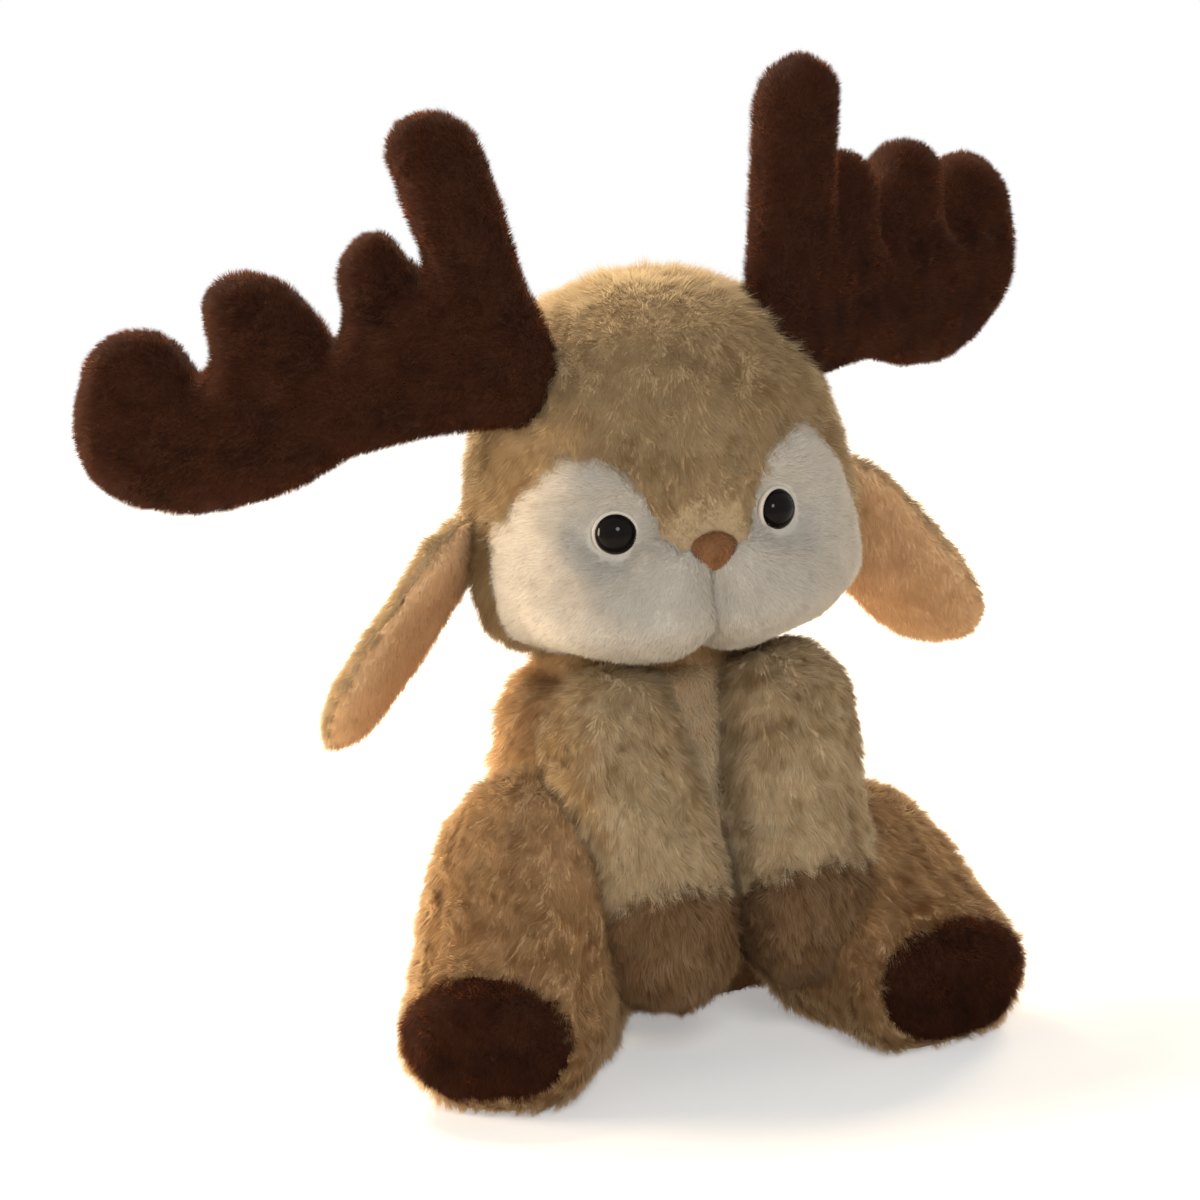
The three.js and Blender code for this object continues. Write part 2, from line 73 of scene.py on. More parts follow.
# Lengths are in millimetres, places are left, forward and up, and each span gives the two
# heights or distances between which a change runs. The next ones repeat the part's source.
CROWN = (4, 4, 250)
EYE_TURN = 22
ANTLER_ROOT = (47, 24, 221)
ANTLER_SWEEP = 40
ANTLER_LIFT = {"left": 8, "right": 0}
ANTLER_LIFT_START = 17.8
ANTLER_OUTLINE = [  # outward from the root, and up
    (-15, -2), (-12, 13), (-5, 33.5), (0, 56), (7, 77), (20, 84), (32, 75), (27, 53), (23, 33),
    (31, 37), (41, 46.6), (52, 38), (52, 20.5), (58, 11), (68, 25), (84, 34), (98, 27.5), (97, 8),
    (104, 1), (111, 9), (123, 16.5), (139, 10), (147, -13), (139.5, -33), (112, -41), (78, -34.5),
    (51, -22), (14.6, -15), (-6, -14),
]
PATCH_OUTLINE = [  # out from the middle of the face, and up
    (0, 108), (0, 150), (0.2, 164), (7, 167), (14.5, 171), (17.5, 181), (23, 192), (31, 198),
    (40, 197), (48, 188), (53, 179), (57, 170), (60, 161), (64, 150), (67, 130), (66, 108),
]

# Torso and neck
CROTCH_FORWARD = -8
CROTCH_SLOPE = 46
CROTCH_LIFT = 12
CROTCH_SPAN = (60, 25)
SHOULDER_LIFT = 4
SHOULDER_SPAN = (92, 118)
NECK_SIZE = (74, 58, 28)  # wide enough to fill the gap that a nod opens
NECK_SQUARENESS = 0.7

# Head
HEAD_FORWARD = 10
PATCH_BACK = 4
PATCH_BACK_RISE = 15
PATCH_BACK_SPAN = (120, 142)
PATCH_PROUD = 2.4
PATCH_TUCK = 0.4
PATCH_WALL = 3
CHIN_LIFT = 7
CHIN_SPAN = (152, 128)
HEAD_FULLNESS = 1.2
HEAD_LUMPS = 0.5
BROW_RISE = 1.2
EYE_SEAT_OFFSET = 1.7
EYE_SHIFT = {"left": -3, "right": -0.8}
EYE_RADIUS = 6.6
EYE_DOME = 5.2
EYE_SHANK = (2, -8)  # radius, and depth behind the seat
EYE_RIM = (6.8, 0.8, 0.25, 1.0)  # radius, half width, height and half thickness
EYE_BARE = 8.3  # radius without pile
EYE_HOLLOW = 3.8
EYE_HOLLOW_SPAN = (15, 8.5)
NOSE_HALF_DEPTH = 5.5
NOSE_SHIFT = (0, 0.5, -1.5)

# Limbs
ARM_INNER_MOVE = 2.2
ARM_PARTING = 4.5
ARM_PARTING_SPAN = (66, 108)
FOOT_HEIGHT = {"left": 0.86, "right": 0.73}  # share of the solid foot's height
FOOT_SPAN = (48, 6)
FLOOR_CLEARANCE = 0.3

# Plush. Each kind: record slot, name, foot colour, tip colour, share of light let through
PLUSH = {
    "tan": ("tan_plush", "tan pile", (158, 132, 100), (208, 187, 150), 0.5),
    "warm": ("tan_plush", "body's tan pile", (152, 120, 86), (216, 186, 143), 0.5),
    "cream": ("cream_plush", "cream pile", (166, 143, 110), (226, 208, 175), 0.45),
    "white": ("white_plush", "white pile", (190, 183, 171), (223, 215, 203), 0.2),
    "peach": ("peach_plush", "peach pile", (204, 168, 128), (236, 207, 168), 0.45),
    "brown": ("brown_plush", "dark brown pile", (40, 21, 12), (80, 43, 23), 0.35),
    "paw": ("paw_plush", "paws' pile", (108, 82, 57), (168, 135, 98), 0.35),
    "nose": ("nose_velvet", "nose's nap", (120, 80, 52), (182, 132, 90), 0.1),
}
DARK_KINDS = ("brown", "nose")
DARK_GLOW = 3  # how much brighter than its colour light shines through dark pile
# Tint of the darkest pile strands: painted shade for the gaps between locks and for creases, also
# taken by randomly darker strands
CREVICE_PAINTED_SHADE_TINT = (0.6, 0.5, 0.4)
PALE_SHARE = 0.12  # how far the palest strands turn towards white
SPECKLE_SCALE, TONE_SCALE, RUBBED_SCALE = 900, 45, 350
RIPPLE_WAVES = 7
STRANDS_IN_LOCK = 34
# locks sets how strongly strands gather, and how dark the painted shade between the locks is
BODY_PILE = {"lean": 0.8, "tuft": 0.8, "locks": 0.34}
SHORT_PILE = {"tuft": 0.6, "tuft_size": 0.005}  # metres
UNEVEN = 0.35  # how much the strands of one pile differ in length
SINK = 0.1  # share of the pile's length that stands inside the cloth

# Each lamp: name, place, width in metres, watts and colour
LAMPS = (
    ("front", (-300, 1600, 900), 0.5, 14, (0.94, 0.97, 1.0)),
    ("left rim", (900, -750, 500), 0.6, 14, (1.0, 0.81, 0.6)),
    ("right rim", (-1050, -600, 250), 0.6, 27, (1.0, 0.8, 0.57)),
    ("top rim", (-150, -650, 1050), 0.6, 23, (1.0, 0.86, 0.66)),
)
LAMP_TARGET = (0, 0, 150)
WORLD_COLOUR = (1.0, 0.98, 0.96)
WORLD_STRENGTH = 0.26
FLOOR_HALF = 12  # metres, as the next two distances are
FLOOR_FADE = (0.3, 1.2)  # the seen floor turns white between these reaches
CAMERA_DISTANCE = 2.3
FLOOR_GLOW = 0.35
LENS, SENSOR, CAMERA_REACH = 217, 36, 100
CAMERA_TARGET = (-16.7, 5.1, 141)
CAMERA_TURN, CAMERA_RISE, CAMERA_ROLL = -20, 13.5, 5


def linear(rgb):
    """A display colour, 0 to 255, on the shader's own scale."""
    shares = [channel / 255 for channel in rgb]
    return tuple(c / 12.92 if c <= 0.04045 else ((c + 0.055) / 1.055) ** 2.4 for c in shares)


def length_setting(name, description, millimetres):
    return FloatProperty(name=name, description=description, default=millimetres * MM, min=0,
                         unit="LENGTH", precision=5)


def colour_setting(name, description, *rgb):
    return FloatVectorProperty(name=name.capitalize(), description=description, min=0, max=1,
                               size=3, default=linear(rgb), subtype="COLOR")


def count_setting(name, place, default):
    return IntProperty(name=name, description=f"Strands on {place}", default=default, min=0)


class DeerSizes(bpy.types.PropertyGroup):
    """Sizes of the cloth forms and their pile."""

    cloth_voxel: length_setting("Cloth mesh", "Mesh size of the stuffed cloth forms", 2.4)
    fine_voxel: length_setting("Fine cloth mesh", "Mesh size of the antlers, ears and soles", 1.8)
    long_pile: length_setting("Long pile", "Pile of the torso, arms and legs", 7)
    head_pile: length_setting("Head pile", "Pile of the head", 6)
    patch_pile: length_setting("Patch pile", "Pile of the white face patches", 3.2)
    ear_pile: length_setting("Ear pile", "Pile of the ears' outer sides", 5)
    lining_pile: length_setting("Lining pile", "Pile of the ears' linings", 3.6)
    antler_pile: length_setting("Antler pile", "Pile of the antlers", 2.6)
    sole_pile: length_setting("Sole pile", "Pile of the soles", 2.8)
    nose_pile: length_setting("Nose pile", "Nap of the nose", 0.9)
    strand_width: length_setting("Strand width", "Width of a tuft of pile at its foot", 0.26)
    antler_thickness: length_setting("Antler thickness", "Thickness of a stuffed antler", 23)
    chin_groove: length_setting("Chin groove", "Depth of the seam between the face patches", 6)
    cheek_puff: length_setting("Cheek puff", "How far the face patches stand proud", 2.5)


class DeerCounts(bpy.types.PropertyGroup):
    """Numbers of pile strands."""

    head: count_setting("Head", "the head", 260000)
    patch: count_setting("Face patch", "each face patch", 60000)
    torso: count_setting("Torso", "the torso", 125000)
    chest: count_setting("Chest", "the chest panel", 11000)
    arm: count_setting("Arm", "each arm", 88000)
    paw: count_setting("Paw", "each paw", 30000)
    leg: count_setting("Leg", "each leg", 108000)
    sole: count_setting("Sole", "each sole", 26000)
    ear: count_setting("Ear", "each ear's outer side", 36000)
    lining: count_setting("Ear lining", "each ear's lining", 28000)
    antler: count_setting("Antler", "each antler", 120000)
    nose: count_setting("Nose", "the nose", 10000)


class DeerColours(bpy.types.PropertyGroup):
    """Colours of each pile's foot, at the cloth, and of its tip, of the eyes and of the floor."""

    __annotations__ = {
        f"{kind}_{end}": colour_setting(f"{kind} {end}", f"The {end} of the {name}", *rgb)
        for kind, (_, name, *colours, _) in PLUSH.items()
        for end, rgb in zip(("foot", "tip"), colours)
    }
    eye: colour_setting("Eye", "Black plastic of the eyes", 16, 10, 8)
    rim: colour_setting("Rim", "Pale plastic of the eyes' rims", 214, 204, 190)
    floor: colour_setting("Floor", "The stage's floor", 238, 236, 232)


def sizes():
    return bpy.context.scene.deer_sizes


def counts():
    return bpy.context.scene.deer_counts


def colours():
    return bpy.context.scene.deer_colours


# Points and curves

def spot(left, forward, up):
    """A point in metres from the deer's left, forward and up in millimetres."""
    return Vector((left, -forward, up)) * MM


def smooth_step(low, high, value):
    """Runs softly from 0 at low to 1 at high, in millimetres, for values in metres."""
    share = np.clip((value - low * MM) / (high * MM - low * MM), 0, 1)
    return share * share * (3 - 2 * share)


def off_middle(value, middle, width):
    """How many widths a value lies from a middle, both in millimetres, for values in metres."""
    return (value - middle * MM) / (width * MM)


def unit(vectors):
    return vectors / np.maximum(np.linalg.norm(vectors, axis=-1, keepdims=True), SHORTEST)


def flattened(vectors, normals):
    """The vectors without what points along the normals."""
    return vectors - normals * (vectors * normals).sum(axis=1, keepdims=True)


def ripple(points, wave_length, seed):
    """Smooth noise between about -1 and 1, from a few seeded waves. All lengths are in metres."""
    draw = np.random.default_rng(seed)
    lengths = draw.normal(size=(RIPPLE_WAVES, 3))
    directions = unit(lengths) * draw.uniform(0.6, 1.7, (RIPPLE_WAVES, 1))
    phases = draw.uniform(0, 2 * math.pi, RIPPLE_WAVES)
    waves = np.sin(points @ directions.T * (2 * math.pi / wave_length) + phases)
    return waves.sum(axis=1) / math.sqrt(RIPPLE_WAVES) * 0.8


def ripple_vectors(points, wave_length, seed):
    return np.stack([ripple(points, wave_length, seed + axis) for axis in range(3)], axis=1)


def smooth_outline(corners, steps):
    """Points on a closed smooth curve through the corners."""
    corners = np.array(corners, float)
    before, after, beyond = (np.roll(corners, shift, axis=0) for shift in (1, -1, -2))
    shares = np.arange(steps)[:, None, None] / steps
    curve = 0.5 * (
        2 * corners
        + (after - before) * shares
        + (2 * before - 5 * corners + 4 * after - beyond) * shares ** 2
        + (3 * corners - before - 3 * after + beyond) * shares ** 3
    )
    return curve.transpose(1, 0, 2).reshape(-1, 2)


def outline_distance(points, outline):
    """Distance of each point from a closed outline, positive inside it."""
    ends = np.roll(outline, -1, axis=0)
    spans = ends - outline
    offsets = points[:, None, :] - outline[None, :, :]
    shares = (offsets * spans).sum(-1) / np.maximum((spans ** 2).sum(-1), TINY)
    shares = np.clip(shares, 0, 1)
    nearest = np.linalg.norm(offsets - shares[..., None] * spans, axis=-1).min(axis=1)
    height = points[:, None, 1]
    above = (outline[None, :, 1] > height) != (ends[None, :, 1] > height)
    run = np.where(np.abs(spans[:, 1]) < TINY, TINY, spans[:, 1])
    crossing = outline[:, 0] + (height - outline[:, 1]) / run * spans[:, 0]
    inside = (above & (points[:, None, 0] < crossing)).sum(axis=1) % 2 == 1
    return np.where(inside, nearest, -nearest)


PATCH_CURVE = smooth_outline(PATCH_OUTLINE, 6) * MM


def patch_depth(points):
    """How far inside either white face patch a point lies, in metres, negative outside."""
    flat = np.stack([np.abs(points[:, 0]), points[:, 2]], axis=1)
    depth = outline_distance(flat, PATCH_CURVE)
    rise = PATCH_BACK_RISE * smooth_step(*PATCH_BACK_SPAN, points[:, 2])
    front = -points[:, 1] - (PATCH_BACK + rise) * MM
    return np.where(front > 0, np.minimum(depth, front), -1.0)


# Meshes

def new_object(name, data):
    item = bpy.data.objects.new(name, data)
    bpy.context.scene.collection.objects.link(item)
    return item


def add_object(name, mesh, body, material):
    """A piece of the deer, attached to its body; one given no body stays unattached."""
    piece = new_object(name, mesh)
    mesh.materials.clear()
    mesh.materials.append(material)
    if body is not None:
        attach(piece, body)
    return piece


def add_cloth(name, mesh, body, kind, fill, *nodes):
    """A padded piece in the backing of one kind of plush, in place of some nodes."""
    piece = add_object(name, mesh, body, plush(kind)[1])
    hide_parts(*nodes)
    return piece


def mesh_from(work, name):
    """The mesh of a bmesh, which is freed."""
    mesh = bpy.data.meshes.new(name)
    work.to_mesh(mesh)
    work.free()
    return mesh


def vectors_of(items, key):
    values = np.empty(len(items) * 3)
    items.foreach_get(key, values)
    return values.reshape(-1, 3)


def places_of(mesh):
    return vectors_of(mesh.vertices, "co")


def normals_of(mesh):
    return vectors_of(mesh.vertex_normals, "vector")


def set_places(mesh, places):
    mesh.vertices.foreach_set("co", places.ravel())
    mesh.update()


def modified(mesh, *modifiers):
    """The mesh, shaded smooth, with modifiers applied, each given as its kind and settings."""
    piece = new_object("work", mesh)
    for kind, settings in modifiers:
        modifier = piece.modifiers.new(kind, kind)
        for name, value in settings.items():
            setattr(modifier, name, value)
    graph = bpy.context.evaluated_depsgraph_get()
    result = bpy.data.meshes.new_from_object(piece.evaluated_get(graph))
    bpy.data.objects.remove(piece)
    result.shade_smooth()
    return result


def remeshed(mesh, rounds, fine=False):
    """The mesh as one even closed skin, smoothed."""
    voxel = sizes().fine_voxel if fine else sizes().cloth_voxel
    return modified(mesh, ("REMESH", {"mode": "VOXEL", "voxel_size": voxel}),
                    ("SMOOTH", {"factor": 0.5, "iterations": rounds}))


def wrapped_nodes(*names):
    """One closed wrap round the solids of some nodes."""
    work = bmesh.new()
    for name in names:
        work.from_mesh(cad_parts[name].data)
    bmesh.ops.remove_doubles(work, verts=work.verts, dist=1e-5)
    wrap = bmesh.ops.convex_hull(work, input=work.verts, use_existing_faces=False)
    kept = {item for item in wrap["geom"] if isinstance(item, bmesh.types.BMFace)}
    inner = [face for face in work.faces if face not in kept]
    bmesh.ops.delete(work, geom=inner, context="FACES")
    loose = [vert for vert in work.verts if not vert.link_faces]
    bmesh.ops.delete(work, geom=loose, context="VERTS")
    bmesh.ops.recalc_face_normals(work, faces=work.faces)
    return mesh_from(work, "wrap")


def moved_out(mesh, amount):
    """Moves each vertex along its normal, by an amount or an array of amounts in metres."""
    shift = np.broadcast_to(amount, len(mesh.vertices))[:, None]
    set_places(mesh, places_of(mesh) + normals_of(mesh) * shift)
    return mesh


def stuffed_skin(node, rounds, fullness, lumps, seed, fine=False, also=()):
    """A stuffed cloth form round nodes: wrapped, smoothed, filled out and made a little uneven.
    Fullness and lumps are in metres."""
    mesh = remeshed(wrapped_nodes(node, *also), rounds, fine)
    moved_out(mesh, fullness + lumps * ripple(places_of(mesh), 0.035, seed))
    places = places_of(mesh)
    places[:, 2] = np.maximum(places[:, 2], FLOOR_CLEARANCE * MM)
    set_places(mesh, places)
    return mesh


# Materials

def feed(tree, socket, value):
    """Drives a shader's input from an output, or gives it a number or an opaque colour.
    A node stands for its first output."""
    if isinstance(value, bpy.types.Node):
        value = value.outputs[0]
    if isinstance(value, bpy.types.NodeSocket):
        tree.links.new(value, socket)
    elif socket.type == "RGBA":
        socket.default_value = (*value, 1)
    else:
        socket.default_value = value


def add_node(tree, kind, feeds=None, **settings):
    """A shader node with its settings, and what feeds its inputs."""
    node = tree.nodes.new(f"ShaderNode{kind}")
    for name, value in settings.items():
        setattr(node, name, value)
    for key, value in (feeds or {}).items():
        feed(tree, node.inputs[key], value)
    return node


def combined(tree, operation, first, second):
    return add_node(tree, "Math", {0: first, 1: second}, operation=operation)


def layered(tree, share, under, over):
    """A mix of two shaders, by the share of the second."""
    return add_node(tree, "MixShader", {"Fac": share, 1: under, 2: over})


def mixed(tree, share, first, second):
    """A colour mix. Each of first and second is a colour or a socket."""
    mix = add_node(tree, "Mix", {"Factor": share}, data_type="RGBA")
    sockets = [socket for socket in mix.inputs if socket.type == "RGBA"]
    for socket, colour in zip(sockets, (first, second)):
        feed(tree, socket, colour)
    return next(socket for socket in mix.outputs if socket.type == "RGBA")


def darker(colour, share):
    return tuple(channel * share for channel in colour)


def between(first, second, share):
    return tuple(a + (b - a) * share for a, b in zip(first, second))


def new_material(name):
    """A material without nodes, and its tree."""
    material = bpy.data.materials.new(name)
    material.use_nodes = True
    material.node_tree.nodes.clear()
    return material, material.node_tree


def noise(tree, scale, detail):
    """Noise that stays with the piece."""
    place = add_node(tree, "TexCoord").outputs["Object"]
    return add_node(tree, "TexNoise", {"Vector": place, "Scale": scale, "Detail": detail})


def cloth_gloss(roughness, sheen, tint):
    """The shader inputs that give cloth its dull sheen."""
    return {"Roughness": roughness, "Specular IOR Level": 0.15, "Sheen Weight": sheen,
            "Sheen Roughness": 0.45, "Sheen Tint": tint}


def pile_material(name, foot, tip, pale, through_share, glow):
    """Pile whose map runs across from its darkest strands to its palest, and up to their tips."""
    tree = new_material(name)[1]
    place = add_node(tree, "UVMap", uv_map=BAKE_MAP)
    across, up, _ = add_node(tree, "SeparateXYZ", {"Vector": place.outputs["UV"]}).outputs
    choice = add_node(tree, "ValToRGB", {"Fac": across})
    ramp = choice.color_ramp
    ramp.interpolation = "EASE"
    # The ramp's darkest end is painted shade for crevices and creases, and also the colour of
    # randomly darker strands
    painted_crevice_shade = [channel * share for channel, share in zip(foot, CREVICE_PAINTED_SHADE_TINT)]
    ramp.elements[0].color = (*painted_crevice_shade, 1)
    ramp.elements[1].color = (*between(tip, (1, 1, 1), pale), 1)
    middle = ramp.elements.new(0.55)
    middle.color = (*between(foot, tip, 0.82), 1)
    rise = add_node(tree, "MapRange", {"Value": up, "From Min": 0.05, "From Max": 0.75},
                    interpolation_type="SMOOTHSTEP")
    colour = mixed(tree, rise, foot, choice)
    feeds = {"Base Color": colour, **cloth_gloss(0.85, 0.25, tip)}
    shader = add_node(tree, "BsdfPrincipled", feeds)
    through = add_node(tree, "BsdfTranslucent", {"Color": glow})
    both = layered(tree, through_share, shader, through)
    add_node(tree, "OutputMaterial", {"Surface": both})


def backing_material(name, foot, tip):
    """The cloth under the pile: a fine speckle of pile feet, with a soft uneven tone."""
    tree = new_material(name)[1]
    speckle, tone = noise(tree, SPECKLE_SCALE, 3), noise(tree, TONE_SCALE, 2)
    fine = mixed(tree, speckle, darker(foot, 0.8), between(foot, tip, 0.5))
    bump = add_node(tree, "Bump", {"Strength": 0.4, "Distance": 0.6 * MM, "Height": speckle})
    shader = add_node(tree, "BsdfPrincipled", {
        "Base Color": mixed(tree, tone, fine, between(foot, tip, 0.35)),
        "Normal": bump, **cloth_gloss(0.95, 0.2, tip)})
    add_node(tree, "OutputMaterial", {"Surface": shader})


def plastic_material(name, colour, roughness, gloss, marks):
    """Moulded plastic with faint rubbed marks in its polish."""
    material, tree = new_material(name)
    rubbed = noise(tree, RUBBED_SCALE, 4)
    level = add_node(tree, "MapRange", {
        "Value": rubbed, "To Min": roughness, "To Max": roughness + marks})
    shader = add_node(tree, "BsdfPrincipled", {
        "Base Color": mixed(tree, rubbed, darker(colour, 0.82), colour),
        "Roughness": level, "Specular IOR Level": gloss})
    add_node(tree, "OutputMaterial", {"Surface": shader})
    return material


def plush(kind):
    """The pile and the backing of one kind of plush. The first call makes all kinds."""
    for each in PLUSH if f"{kind} plush" not in bpy.data.materials else ():
        foot = tuple(getattr(colours(), f"{each}_foot"))
        tip = tuple(getattr(colours(), f"{each}_tip"))
        dark = each in DARK_KINDS
        glow = tuple(min(channel * DARK_GLOW, 1) for channel in tip) if dark else tip
        pale = 0.0 if dark else PALE_SHARE
        pile_material(f"{each} plush", foot, tip, pale, PLUSH[each][-1], glow)
        backing_material(f"{each} backing", foot, tip)
    return bpy.data.materials[f"{kind} plush"], bpy.data.materials[f"{kind} backing"]


# Pile

def scattered(mesh, count, draw):
    """Random points spread evenly over a mesh, with their smooth normals."""
    mesh.calc_loop_triangles()
    corners = np.empty(len(mesh.loop_triangles) * 3, np.int32)
    mesh.loop_triangles.foreach_get("vertices", corners)
    corners = corners.reshape(-1, 3)
    places = places_of(mesh)
    normals = normals_of(mesh)
    first, second, third = (places[corners[:, index]] for index in range(3))
    areas = np.linalg.norm(np.cross(second - first, third - first), axis=1)
    chosen = draw.choice(len(corners), size=count, p=areas / areas.sum())
    shares = draw.random((count, 2))
    over = shares.sum(axis=1) > 1
    shares[over] = 1 - shares[over]
    weights = np.stack([1 - shares.sum(axis=1), shares[:, 0], shares[:, 1]], axis=1)[..., None]
    picked = corners[chosen]
    return (places[picked] * weights).sum(axis=1), unit((normals[picked] * weights).sum(axis=1))


def strand_mesh(name, roots, tips, sideways, normals, shades, width):
    """Strands as narrow pointed blades, with the map that the pile's material reads."""
    count = len(roots)
    places = np.empty((count, 3, 3), np.float32)
    half = sideways * (width / 2)[:, None]
    places[:, 0] = roots - half
    places[:, 1] = roots + half
    places[:, 2] = tips
    places[:, 2, 2] = np.maximum(places[:, 2, 2], FLOOR_CLEARANCE * MM)
    mesh = bpy.data.meshes.new(name)
    mesh.vertices.add(count * 3)
    mesh.vertices.foreach_set("co", places.ravel())
    mesh.loops.add(count * 3)
    mesh.loops.foreach_set("vertex_index", np.arange(count * 3, dtype=np.int32))
    mesh.polygons.add(count)
    mesh.polygons.foreach_set("loop_start", np.arange(0, count * 3, 3, dtype=np.int32))
    mesh.update(calc_edges=True)
    chart = np.empty((count, 3, 2), np.float32)
    chart[..., 0] = np.clip(shades, 0.01, 0.99)[:, None] + np.array([-1, 1, 0])[None, :] * 0.006
    chart[..., 1] = np.array([0.02, 0.02, 0.98])[None, :]
    layer = mesh.uv_layers.new(name=BAKE_MAP)
    layer.uv.foreach_set("vector", chart.ravel())
    mesh.shade_smooth()
    spread = np.repeat(normals[:, None, :], 3, axis=1)
    mesh.normals_split_custom_set_from_vertices(spread.reshape(-1, 3))
    return mesh


def gathered_locks(roots, tips, draw, strength):
    """Draws the tips of neighbouring strands together. Returns the tips and each strand's tone: a
    random tone for each lock, and painted shade that darkens strands away from the lock's middle,
    towards the gaps between locks.
    """
    locks = max(int(len(roots) / STRANDS_IN_LOCK), 1)
    centres = draw.choice(len(roots), size=locks, replace=False)
    tree = KDTree(len(centres))
    for index, centre in enumerate(centres):
        tree.insert(roots[centre], index)
    tree.balance()
    found = [tree.find(root)[1:] for root in roots]
    nearest = np.array([index for index, _ in found])
    away = np.array([distance for _, distance in found])
    away /= np.quantile(away, 0.9)
    stretch = draw.uniform(0.85, 1.2, len(centres))[:, None]
    lock_tips = roots[centres] + (tips[centres] - roots[centres]) * stretch
    drawn = tips + (lock_tips[nearest] - tips) * strength
    lock_tone = 0.08 * draw.normal(size=len(centres))
    # Painted shade: the farther a strand stands from its lock's middle, the darker it is; lock_tone
    # is random for each lock
    tone = lock_tone[nearest] + 0.1 - 0.3 * np.clip(away, 0, 1.2) ** 2
    return drawn, tone * strength * 2


def grow_pile(name, skin, count, body, kind, *, length, comb, seed, lean=0.7, tuft=0.5,
              tuft_size=0.006, keep=None, shade=None, reach_share=None, width=None, stray=0.15,
              locks=0.0):
    """Grows pile on a skin. comb gives the way that it is brushed, lean how flat it lies and tuft
    how strongly it waves. locks gathers strands to common tips and paints shade between the locks.
    keep tells where it grows, shade how pale it is, painted light and shade included on some pieces,
    and reach_share how long."""
    draw = np.random.default_rng(seed)
    roots, normals = scattered(skin, count, draw)
    if keep is not None:
        chosen = keep(roots, normals, draw)
        roots, normals = roots[chosen], normals[chosen]
    count = len(roots)
    brushed = flattened(comb(roots, normals), normals)
    gather = ripple_vectors(roots, tuft_size, seed + 11) * 0.6
    gather = flattened(gather + ripple_vectors(roots, tuft_size * 2.7, seed + 31), normals)
    lie = unit(brushed) * lean + gather * tuft * 0.45 + draw.normal(0, stray, (count, 3))
    start = unit(normals * (1.15 - lean * 0.6) + lie * 0.75)
    finish = unit(normals * (0.55 - lean * 0.45) + lie)
    chance = UNEVEN * (draw.random(count) - 0.5) * 1.4
    reach = length * (1 + chance + 0.16 * ripple(roots, tuft_size * 2.2, seed + 51))
    reach = np.maximum(reach, length * 0.3)[:, None]
    if reach_share is not None:
        reach = reach * reach_share(roots)[:, None]
    sunk = roots - normals * (length * SINK)
    tips = sunk + (start + finish) * reach * 0.5
    roll = draw.normal(0, 0.5, count)[:, None]
    sideways = unit(np.cross(start, normals) + NUDGE)
    sideways = unit(sideways * np.cos(roll) + np.cross(start, sideways) * np.sin(roll))
    blade = unit(np.cross(sideways, start))
    soft = unit(normals * 0.75 + blade * 0.35 + finish * 0.15)
    tone = 0.5 + 0.1 * draw.normal(size=count) + 0.12 * ripple(roots, tuft_size * 1.3, seed + 71)
    if shade is not None:
        tone = tone + shade(roots)
    # The locks also bring painted shade in the gaps between them
    if locks:
        tips, lock_tone = gathered_locks(sunk, tips, draw, locks)
        tone = tone + lock_tone
    thickness = (width or sizes().strand_width) * draw.uniform(0.7, 1.25, count)
    mesh = strand_mesh(name, sunk, tips, sideways, soft, tone, thickness)
    return add_object(name, mesh, body, plush(kind)[0])


def dress(name, mesh, body, kind, fill, nodes, count, **pile):
    """A padded cloth in place of some nodes, and the pile that grows on it."""
    return (add_cloth(f"{name}_cloth", mesh, body, kind, fill, *nodes),
            grow_pile(f"{name}_pile", mesh, count, body, kind, **pile))


def brushed_along(direction):
    way = np.array(direction, float)

    def comb(roots, normals):
        return np.broadcast_to(way, roots.shape)
    return comb


def brushed_from(centre, fall=0.0):
    """Brushed away from a point, with a share of straight down."""
    middle = np.array(spot(*centre))

    def comb(roots, normals):
        return unit(flattened(unit(roots - middle), normals)) + np.array([0, 0, -fall])
    return comb


def mottled(amount, wave_length, seed, base=0.0):
    """Uneven paleness, whose patches are a wave's length across, in metres."""
    def shade(roots):
        return base + amount * ripple(roots, wave_length, seed)
    return shade


# Pieces

